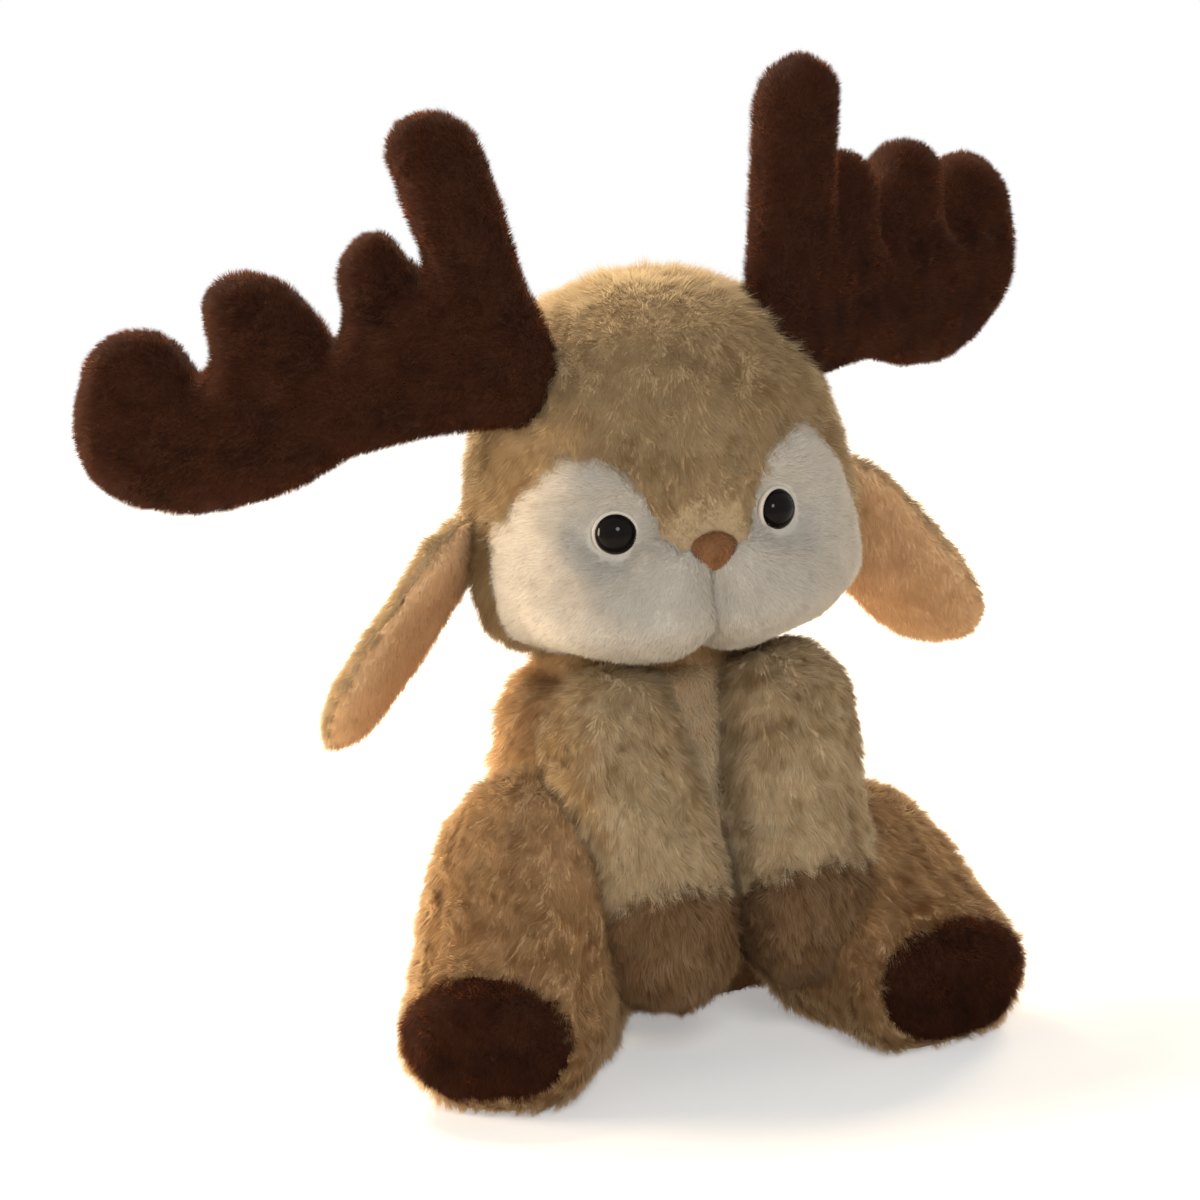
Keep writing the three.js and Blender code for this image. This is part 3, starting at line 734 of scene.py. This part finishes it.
class DEER_OT_torso(bpy.types.Operator):
    """Torso with its chest panel and the neck inside its collar"""

    bl_idname = "deer.torso"
    bl_label = "Torso"

    def execute(self, context):
        down, long_pile = brushed_along((0, 0, -1)), sizes().long_pile
        skin = stuffed_skin("torso_cover", 6, 0.0022, 0.0008, 21, also=["chest_panel"])
        places = places_of(skin)
        ahead = -places[:, 1]
        slope = (ahead - CROTCH_FORWARD * MM) * math.tan(math.radians(CROTCH_SLOPE))
        lift = np.clip(slope - places[:, 2], 0, CROTCH_LIFT * MM)
        places[:, 2] += lift * smooth_step(*CROTCH_SPAN, places[:, 2])
        shoulder = smooth_step(*SHOULDER_SPAN, places[:, 2]) * smooth_step(0, 25, ahead)
        places[:, 2] += SHOULDER_LIFT * MM * shoulder
        set_places(skin, places)
        low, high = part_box("chest_panel")

        def on_chest(roots):
            left, back, up = roots.T
            return (left > low.x) & (left < high.x) & (back < high.y) & (up > low.z)

        def off_chest(roots, normals, draw):
            return (roots[:, 2] > 2 * MM) & ~on_chest(roots)

        def above_panel(roots, normals, draw):
            return on_chest(roots) & (roots[:, 2] > high.z - 1 * MM)
        dress("torso", skin, "torso", "warm", 0.9, ["torso_cover", "torso_stuffing"],
              counts().torso, length=long_pile, comb=brushed_from((0, 0, 140), 0.6), seed=101,
              keep=off_chest, shade=mottled(0.1, 0.03, 61), **{**BODY_PILE, "lean": 0.75})
        # Paler than the other cream pile: painted light against the shade between the arms
        grow_pile("chest_top_pile", skin, counts().torso * 2, "torso", "cream",
                  length=long_pile * 0.8, comb=down, seed=112, keep=above_panel,
                  shade=mottled(0.1, 0.02, 62, 0.3))
        panel = remeshed(wrapped_nodes("chest_panel"), 4, fine=True)
        moved_out(panel, 0.0022)
        # Paler than the other cream pile: painted light against the shade between the arms
        dress("chest_panel", panel, "torso", "cream", 0.8, ["chest_panel"], counts().chest,
              length=long_pile * 0.9, comb=down, seed=111, shade=mottled(0.1, 0.02, 62, 0.3),
              keep=lambda roots, normals, draw: normals[:, 1] < -0.3)
        neck = remeshed(wrapped_nodes("neck_stuffing"), 4)
        low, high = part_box("neck_stuffing")
        middle, half = np.array((low + high) / 2), np.array((high - low) / 2)
        share = unit((places_of(neck) - middle) / half)
        share = np.sign(share) * np.abs(share) ** NECK_SQUARENESS
        set_places(neck, middle + share * (np.array(NECK_SIZE) / 2) * MM)
        dress("neck", neck, "neck", "warm", 0.9, ["neck_stuffing"], counts().chest,
              length=sizes().head_pile, comb=down, seed=121, shade=mottled(0.1, 0.02, 64),
              keep=lambda roots, normals, draw: np.abs(normals[:, 2]) < 0.8)
        return {"FINISHED"}


def eye_place(side):
    """The middle of an eye's seat on the face, and the way it looks."""
    low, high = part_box(f"eye_{side}_rim")
    turn = math.radians(EYE_TURN)
    way = Vector((SIDES[side] * math.sin(turn), -math.cos(turn), 0))
    return (low + high) / 2 + way * EYE_SEAT_OFFSET * MM + spot(EYE_SHIFT[side], 0, 0), way


def from_eye(points, side):
    """How far each point lies ahead of an eye's seat, and how far from its axis."""
    centre, way = eye_place(side)
    offset = points - np.array(centre)
    along = offset @ np.array(way)
    return along, np.linalg.norm(offset - along[:, None] * np.array(way), axis=1)


def head_form():
    """The head's cloth form, with full cheeks, the seam between them and hollows for the eyes."""
    mesh = remeshed(wrapped_nodes("head_cover", "cheek_left", "cheek_right"), 8)
    places = places_of(mesh)
    left, ahead, up = places[:, 0], -places[:, 1], places[:, 2]
    front = smooth_step(20, 45, ahead)
    puff = np.exp(-off_middle(np.abs(left), 30, 20) ** 2 - off_middle(up, 146, 18) ** 2)
    groove = np.exp(-off_middle(left, 0, 6) ** 2) * smooth_step(172, 150, up)
    brow = np.exp(-off_middle(up, 200, 22) ** 2) * smooth_step(30, 50, ahead)
    shift = front * (sizes().cheek_puff * puff - sizes().chin_groove * groove)
    shift = shift + BROW_RISE * MM * brow
    for side in SIDES:
        along, away = from_eye(places, side)
        near = along > -20 * MM
        shift -= near * EYE_HOLLOW * MM * smooth_step(*EYE_HOLLOW_SPAN, away)
    shift += HEAD_FULLNESS * MM + HEAD_LUMPS * MM * ripple(places, 0.03, 23)
    moved_out(mesh, shift)
    places = places_of(mesh)
    chin = smooth_step(*CHIN_SPAN, places[:, 2]) * smooth_step(0, 30, -places[:, 1])
    places[:, 2] += CHIN_LIFT * MM * chin
    set_places(mesh, places)
    return mesh


def patch_form(head, sign):
    """One face patch: the head's form inside the patch's outline, as a cloth of its own."""
    work = bmesh.new()
    work.from_mesh(head)
    centres = np.array([face.calc_center_median() for face in work.faces])
    inside = (patch_depth(centres) > 0) & (centres[:, 0] * sign > 0)
    outside = [face for face, kept in zip(work.faces, inside) if not kept]
    bmesh.ops.delete(work, geom=outside, context="FACES")
    edge = [vert for vert in work.verts if vert.is_boundary]
    bmesh.ops.smooth_vert(work, verts=edge, factor=0.5, use_axis_x=True, use_axis_y=True,
                          use_axis_z=True)
    mesh = mesh_from(work, "patch")
    inward = smooth_step(-1, 7, patch_depth(places_of(mesh)))
    moved_out(mesh, PATCH_PROUD * MM * np.sqrt(np.clip(inward, 0, 1)) - PATCH_TUCK * MM)
    return modified(mesh, ("SOLIDIFY", {"thickness": PATCH_WALL * MM, "offset": -1}))


class DEER_OT_head(bpy.types.Operator):
    """Head with its combed pile"""

    bl_idname = "deer.head"
    bl_label = "Head"

    def execute(self, context):
        skin = head_form()
        add_cloth("head_cloth", skin, "head", "tan", 0.95, "head_cover", "head_stuffing")

        def of_part(front):
            def keep(roots, normals, draw):
                ahead = (-roots[:, 1] > HEAD_FORWARD * MM) == front
                off_patches = patch_depth(roots) < draw.uniform(-1.5, 1.5, len(roots)) * MM
                return off_patches & ahead
            return keep

        def short_by_nose(roots):
            low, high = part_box("nose")
            away = np.linalg.norm(roots - np.array((low + high) / 2), axis=1)
            return 0.3 + 0.7 * smooth_step(8, 30, away)

        # Painted light: paler strands on the crown, as if lit from behind. Painted shade: darker
        # strands on the head's sides. The ripple is random tone.
        def head_mottle_and_painted_light(roots):
            up = roots[:, 2]
            side = smooth_step(38, 54, np.abs(roots[:, 0])) * smooth_step(228, 205, up)
            return 0.1 * ripple(roots, 0.03, 63) + 0.3 * smooth_step(224, 242, up) - 0.25 * side

        for label, front, seed in (("front", True, 201), ("back", False, 221)):
            grow_pile(f"head_pile_{label}", skin, counts().head, "head", "tan",
                      length=sizes().head_pile, comb=brushed_from(CROWN, 0.35), seed=seed,
                      lean=0.65, tuft=0.7, keep=of_part(front), reach_share=short_by_nose,
                      shade=head_mottle_and_painted_light, stray=0.2, locks=0.24)
        for side, sign in SIDES.items():
            patch = patch_form(skin, sign)

            def on_face(roots, normals, draw):
                outward = unit(roots - np.array(spot(0, HEAD_FORWARD, 180)))
                outer = (normals * outward).sum(axis=1) > 0
                return (from_eye(roots, side)[1] > EYE_BARE * MM) & outer
            node = f"cheek_{side}"
            dress(node, patch, "head", "white", 0.9, [node], counts().patch * 2,
                  length=sizes().patch_pile, comb=brushed_from((0, 66, 172), 0.3),
                  seed=241 + sign, lean=0.8, tuft=0.35, keep=on_face,
                  shade=mottled(0.1, 0.03, 64, 0.1), width=0.28 * MM)
        return {"FINISHED"}


def arc(middle, width, height, thickness, turn, steps):
    """Points on an ellipse's arc from its outermost point, as radius and height in metres."""
    angles = [turn * step / steps for step in range(steps + 1)]
    return [((middle + width * math.cos(angle)) * MM, (height + thickness * math.sin(angle)) * MM)
            for angle in angles]


def spun(profile, centre, way):
    """A turned form: rows of radius and height spun about a direction through a centre."""
    work = bmesh.new()
    rows = [work.verts.new((radius, 0, height)) for radius, height in profile]
    edges = [work.edges.new(pair) for pair in zip(rows, rows[1:])]
    bmesh.ops.spin(work, geom=rows + edges, cent=(0, 0, 0), axis=(0, 0, 1), dvec=(0, 0, 0),
                   angle=2 * math.pi, steps=48, use_merge=True)
    bmesh.ops.remove_doubles(work, verts=work.verts, dist=1e-6)
    bmesh.ops.recalc_face_normals(work, faces=work.faces)
    turn = Vector((0, 0, 1)).rotation_difference(way).to_matrix().to_4x4()
    bmesh.ops.transform(work, matrix=Matrix.Translation(centre) @ turn, verts=work.verts)
    mesh = mesh_from(work, "turned")
    mesh.shade_smooth()
    return mesh


class DEER_OT_eyes(bpy.types.Operator):
    """Domed plastic eyes with their pale rims"""

    bl_idname = "deer.eyes"
    bl_label = "Eyes"

    def execute(self, context):
        gloss = plastic_material("black eye plastic", tuple(colours().eye), 0.05, 0.09, 0.04)
        pale = plastic_material("pale rim plastic", tuple(colours().rim), 0.32, 0.4, 0.12)
        shank, depth = (length * MM for length in EYE_SHANK)
        profile = [(0, depth), (shank, depth), (shank, 0), (EYE_RADIUS * MM * 0.97, 0)]
        profile += arc(0, EYE_RADIUS, EYE_RIM[2], EYE_DOME, math.pi / 2, steps=12)
        profile[-1] = (0, profile[-1][1])
        ring = arc(*EYE_RIM, 2 * math.pi, steps=16)
        for side in SIDES:
            centre, way = eye_place(side)
            dome = spun(profile, centre, way)
            piece = add_object(f"eye_{side}_dome", dome, "head", gloss)
            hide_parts(f"eye_{side}")
            rim = spun(ring, centre, way)
            piece = add_object(f"eye_{side}_rim_ring", rim, "head", pale)
            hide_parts(f"eye_{side}_rim")
            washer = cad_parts[f"eye_{side}_washer"].data
            washer.materials.clear()
            washer.materials.append(pale)
        return {"FINISHED"}


class DEER_OT_nose(bpy.types.Operator):
    """Velvet nose, rounded above and drawn in below"""

    bl_idname = "deer.nose"
    bl_label = "Nose"

    def execute(self, context):
        low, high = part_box("nose")
        centre, size = (low + high) / 2, high - low
        work = bmesh.new()
        bmesh.ops.create_icosphere(work, subdivisions=4, radius=1)
        for vert in work.verts:
            vert.co.x *= 1 - 0.34 * max(-vert.co.z, 0) ** 1.5 + 0.08 * max(vert.co.z, 0)
            across, back, up = vert.co
            vert.co = (across * size.x * 0.5, back * NOSE_HALF_DEPTH * MM, up * size.z * 0.47)
        bmesh.ops.translate(work, verts=work.verts, vec=centre + spot(*NOSE_SHIFT))
        mesh = mesh_from(work, "nose")
        mesh.shade_smooth()
        add_cloth("nose_velvet", mesh, "head", "nose", 0.95, "nose")
        grow_pile("nose_nap", mesh, counts().nose, "head", "nose", length=sizes().nose_pile,
                  comb=brushed_along((0, 0, -1)), seed=301, lean=0.3, tuft=0.4, tuft_size=0.003,
                  shade=mottled(0.15, 0.006, 65), width=0.2 * MM)
        return {"FINISHED"}


def antler_form(side):
    """A padded antler: its outline filled out to a round edge, as two cloths sewn and stuffed."""
    sign = SIDES[side]
    outline = smooth_outline(ANTLER_OUTLINE, 6)
    lifted = np.maximum(outline[:, 0] - ANTLER_LIFT_START, 0)
    outline[:, 1] += math.tan(math.radians(ANTLER_LIFT[side])) * lifted
    outline *= MM
    half = sizes().antler_thickness / 2
    work = bmesh.new()
    face = work.faces.new([work.verts.new((out, -half, up)) for out, up in outline])
    thick = bmesh.ops.extrude_face_region(work, geom=[face])
    moved = [item for item in thick["geom"] if isinstance(item, bmesh.types.BMVert)]
    bmesh.ops.translate(work, verts=moved, vec=(0, 2 * half, 0))
    bmesh.ops.triangulate(work, faces=work.faces)
    bmesh.ops.recalc_face_normals(work, faces=work.faces)
    mesh = remeshed(mesh_from(work, "antler"), 2, fine=True)
    places = places_of(mesh)
    depth = outline_distance(places[:, [0, 2]], outline)
    share = np.clip(depth / (half * 0.95), 0, 1)
    round_edge = np.sqrt(np.clip(1 - (1 - share) ** 2, 0, 1))
    places[:, 1] *= np.clip(round_edge, 0.03, 1)
    set_places(mesh, places)
    mesh = remeshed(mesh, 6, fine=True)
    moved_out(mesh, 0.6 * MM + 0.4 * MM * ripple(places_of(mesh), 0.025, 27))
    sweep = math.radians(ANTLER_SWEEP)
    outward = Vector((sign * math.cos(sweep), math.sin(sweep), 0))
    basis = np.array([outward, Vector((0, 0, 1)).cross(outward), (0, 0, 1)])
    root = spot(sign * ANTLER_ROOT[0], *ANTLER_ROOT[1:])
    set_places(mesh, places_of(mesh) @ basis + np.array(root))
    if sign < 0:  # its axes turn the form inside out
        work = bmesh.new()
        work.from_mesh(mesh)
        bmesh.ops.recalc_face_normals(work, faces=work.faces)
        mesh = mesh_from(work, "antler")
    mesh.shade_smooth()
    return mesh


class DEER_OT_antlers(bpy.types.Operator):
    """Padded antlers in short dark pile"""

    bl_idname = "deer.antlers"
    bl_label = "Antlers"

    def execute(self, context):
        out, ahead, up = ANTLER_ROOT
        for side, sign in SIDES.items():
            body = f"antler_{side}"
            nodes = f"{body}_cover", f"{body}_stuffing"
            dress(body, antler_form(side), body, "brown", 0.85, nodes, counts().antler,
                  length=sizes().antler_pile, seed=401 + sign, lean=0.45,
                  comb=brushed_from((sign * (out - 15), ahead + 8, up), 0.2),
                  shade=mottled(0.22, 0.022, 66, -0.1), **SHORT_PILE)
        return {"FINISHED"}


class DEER_OT_ears(bpy.types.Operator):
    """Drooping ears with their peach linings"""

    bl_idname = "deer.ears"
    bl_label = "Ears"

    def execute(self, context):
        for side, sign in SIDES.items():
            body = f"ear_{side}"
            along = (sign * 0.55, 0.15, -0.8)
            for part, kind, count, length, lean, base in (
                ("back", "tan", counts().ear, sizes().ear_pile, 0.8, 0.1),
                ("lining", "peach", counts().lining, sizes().lining_pile, 0.7, 0.0),
            ):
                node = f"{body}_{part}"
                skin = stuffed_skin(node, 3, 0.0006, 0.0004, 29, fine=True)
                for piece in dress(node, skin, None, kind, 0.7, [node], count, length=length,
                                   comb=brushed_along(along), seed=501 + sign + len(part),
                                   lean=lean, shade=mottled(0.1, 0.03, 67, base)):
                    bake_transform(piece)
        return {"FINISHED"}


class DEER_OT_arms(bpy.types.Operator):
    """Arms hanging in front, with their browner paws"""

    bl_idname = "deer.arms"
    bl_label = "Arms"

    def execute(self, context):
        for side, sign in SIDES.items():
            body = f"arm_{side}"

            # Painted shade: darker strands in the creases along the arm's inner and outer sides, and
            # over the shoulder. The ripple is random tone.
            def arm_mottle_and_painted_shade(roots):
                out = roots[:, 0] * sign
                painted_crease_shade = np.maximum(smooth_step(9, 2, out), smooth_step(40, 46, out) * 0.7)
                shoulder = smooth_step(86, 112, roots[:, 2])
                return 0.1 * ripple(roots, 0.028, 68 + sign) - 0.35 * painted_crease_shade - 0.15 * shoulder

            def arm_reach(roots):
                return 1 - 0.6 * smooth_step(9, 2, roots[:, 0] * sign)
            for part, kind, count, inside in (
                ("cover", "cream", counts().arm, [f"{body}_stuffing"]),
                ("paw", "paw", counts().paw, []),
            ):
                node = f"{body}_{part}"
                skin = stuffed_skin(node, 5, 0.0026, 0.0007, 31 + sign)
                places = places_of(skin)
                inner = smooth_step(8, 1, places[:, 0] * sign)
                places[:, 0] += sign * ARM_INNER_MOVE * MM * inner
                parting = smooth_step(*ARM_PARTING_SPAN, places[:, 2])
                places[:, 0] += sign * ARM_PARTING * MM * parting
                places[:, 2] += SHOULDER_LIFT * MM * smooth_step(*SHOULDER_SPAN, places[:, 2])
                set_places(skin, places)
                dress(node, skin, body, kind, 0.9, [node, *inside], count,
                      length=sizes().long_pile, comb=brushed_along((0, -0.25, -1)),
                      seed=601 + sign + len(part), reach_share=arm_reach, shade=arm_mottle_and_painted_shade,
                      **BODY_PILE)
        return {"FINISHED"}


class DEER_OT_legs(bpy.types.Operator):
    """Splayed legs with their dark sole discs"""

    bl_idname = "deer.legs"
    bl_label = "Legs"

    def execute(self, context):
        for side, sign in SIDES.items():
            body = f"leg_{side}"
            low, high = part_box(f"{body}_sole")
            way = np.array(((low + high) / 2 - spot(sign * 42, 12, 0)) * Vector((1, 1, 0)))
            way /= np.linalg.norm(way)
            end = np.array((low + high) / 2) @ way

            def on_leg(roots, normals, draw):
                off_end = (end - roots @ way > 8 * MM) | (normals @ way < 0.75)
                return (roots[:, 2] > 1 * MM) & off_end

            # Painted shade: strands darker towards the foot. The ripple is random tone.
            def leg_mottle_and_painted_shade(roots):
                painted_foot_shade = smooth_step(40, 10, end - roots @ way)
                return 0.1 * ripple(roots, 0.03, 71 + sign) - 0.25 * painted_foot_shade

            def lowered(skin):
                places = places_of(skin)
                share = smooth_step(*FOOT_SPAN, end - places @ way)
                places[:, 2] *= 1 - (1 - FOOT_HEIGHT[side]) * share
                set_places(skin, places)
                return skin
            nodes = f"{body}_cover", f"{body}_stuffing"
            skin = lowered(stuffed_skin(nodes[0], 5, 0.0024, 0.0008, 33 + sign))
            dress(body, skin, body, "warm", 0.9, nodes, counts().leg, length=sizes().long_pile,
                  comb=brushed_along(way * 0.75 + np.array([0, 0, -0.5])), seed=701 + sign,
                  keep=on_leg, shade=leg_mottle_and_painted_shade, **BODY_PILE)
            node = f"{body}_sole"
            sole = lowered(stuffed_skin(node, 3, 0.0022, 0.0004, 35 + sign, fine=True))
            dress(node, sole, body, "brown", 0.8, [node], counts().sole,
                  length=sizes().sole_pile, comb=brushed_along((0, 0, -1)), seed=721 + sign,
                  lean=0.4, keep=lambda roots, normals, draw: roots[:, 2] > 1 * MM,
                  shade=mottled(0.2, 0.02, 75, -0.1), **SHORT_PILE)
        return {"FINISHED"}


# Stage

def aim(item, place, target, roll=0.0):
    """Places a lamp or camera and turns it to look at a target."""
    back = (place - target).normalized()
    right = Vector((0, 0, 1)).cross(back).normalized()
    up = back.cross(right)
    turned_right = right * math.cos(roll) - up * math.sin(roll)
    turned_up = up * math.cos(roll) + right * math.sin(roll)
    axes = Matrix((turned_right, turned_up, back)).transposed().to_4x4()
    item.matrix_world = Matrix.Translation(place) @ axes


def seen_rays(tree):
    """1 for rays that show the stage itself: straight, in a reflection or through glass."""
    path = add_node(tree, "LightPath").outputs
    total = path["Is Camera Ray"]
    for name in ("Is Glossy Ray", "Is Transmission Ray"):
        total = combined(tree, "MAXIMUM", total, path[name])
    return total


def floor_material():
    """Matte and pale near the deer, turning white far off where it is seen."""
    material, tree = new_material("pale floor")
    matte = add_node(tree, "BsdfDiffuse", {"Color": colours().floor})
    seen = seen_rays(tree)
    lift = combined(tree, "MULTIPLY", seen, FLOOR_GLOW)
    glow = add_node(tree, "Emission", {"Strength": lift})
    near = add_node(tree, "AddShader", {0: matte, 1: glow})
    place = add_node(tree, "TexCoord").outputs["Object"]
    reach = add_node(tree, "VectorMath", {0: place}, operation="LENGTH").outputs["Value"]
    far = add_node(tree, "MapRange", {
        "Value": reach, "From Min": FLOOR_FADE[0], "From Max": FLOOR_FADE[1]},
        interpolation_type="SMOOTHSTEP")
    seen_far = combined(tree, "MULTIPLY", far, seen)
    both = layered(tree, seen_far, near, add_node(tree, "Emission"))
    add_node(tree, "OutputMaterial", {"Surface": both})
    return material


class DEER_OT_stage(bpy.types.Operator):
    """Pale floor, soft lamps and the camera"""

    bl_idname = "deer.stage"
    bl_label = "Stage"

    def execute(self, context):
        work = bmesh.new()
        bmesh.ops.create_grid(work, x_segments=1, y_segments=1, size=FLOOR_HALF)
        mesh = mesh_from(work, "floor")
        mesh.materials.append(floor_material())
        new_object("floor", mesh)

        world = bpy.data.worlds.new("studio")
        context.scene.world = world
        world.use_nodes = True
        tree = world.node_tree
        tree.nodes.clear()
        around = add_node(tree, "Background", {"Color": WORLD_COLOUR, "Strength": WORLD_STRENGTH})
        white = add_node(tree, "Background", {"Color": (1, 1, 1)})
        both = layered(tree, seen_rays(tree), around, white)
        add_node(tree, "OutputWorld", {"Surface": both})

        for name, place, width, watts, colour in LAMPS:
            lamp = bpy.data.lights.new(f"{name} lamp", "AREA")
            lamp.shape = "DISK"
            lamp.size = width
            lamp.energy = watts
            lamp.color = colour
            aim(new_object(lamp.name, lamp), spot(*place), spot(*LAMP_TARGET))

        camera = bpy.data.cameras.new("camera")
        camera.lens = LENS
        camera.sensor_width = SENSOR
        camera.clip_end = CAMERA_REACH
        item = new_object("camera", camera)
        turn, rise = math.radians(CAMERA_TURN), math.radians(CAMERA_RISE)
        level = math.cos(rise)
        back = Vector((math.sin(turn) * level, -math.cos(turn) * level, math.sin(rise)))
        target = spot(*CAMERA_TARGET)
        aim(item, target + back * CAMERA_DISTANCE, target, math.radians(CAMERA_ROLL))
        context.scene.camera = item
        context.scene.view_settings.view_transform = "Standard"
        return {"FINISHED"}


PIECES = (DEER_OT_torso, DEER_OT_head, DEER_OT_eyes, DEER_OT_nose, DEER_OT_antlers,
          DEER_OT_ears, DEER_OT_arms, DEER_OT_legs, DEER_OT_stage)


class DEER_PT_panel(bpy.types.Panel):
    """Lists the pieces, so that each can be built on its own"""

    bl_idname = "DEER_PT_panel"
    bl_label = "Plush Deer"
    bl_space_type = "VIEW_3D"
    bl_region_type = "UI"
    bl_category = "Plush Deer"

    def draw(self, context):
        for operator in PIECES:
            self.layout.operator(operator.bl_idname)


SETTINGS = {"deer_sizes": DeerSizes, "deer_counts": DeerCounts, "deer_colours": DeerColours}
CLASSES = (*SETTINGS.values(), *PIECES, DEER_PT_panel)


def register():
    for item in CLASSES:
        bpy.utils.register_class(item)
    for name, kind in SETTINGS.items():
        setattr(bpy.types.Scene, name, PointerProperty(type=kind))


def unregister():
    for name in SETTINGS:
        delattr(bpy.types.Scene, name)
    for item in reversed(CLASSES):
        bpy.utils.unregister_class(item)


def main():
    register()
    for operator in PIECES:
        getattr(bpy.ops.deer, operator.bl_idname.split(".")[1])()


if __name__ == "__main__":
    main()
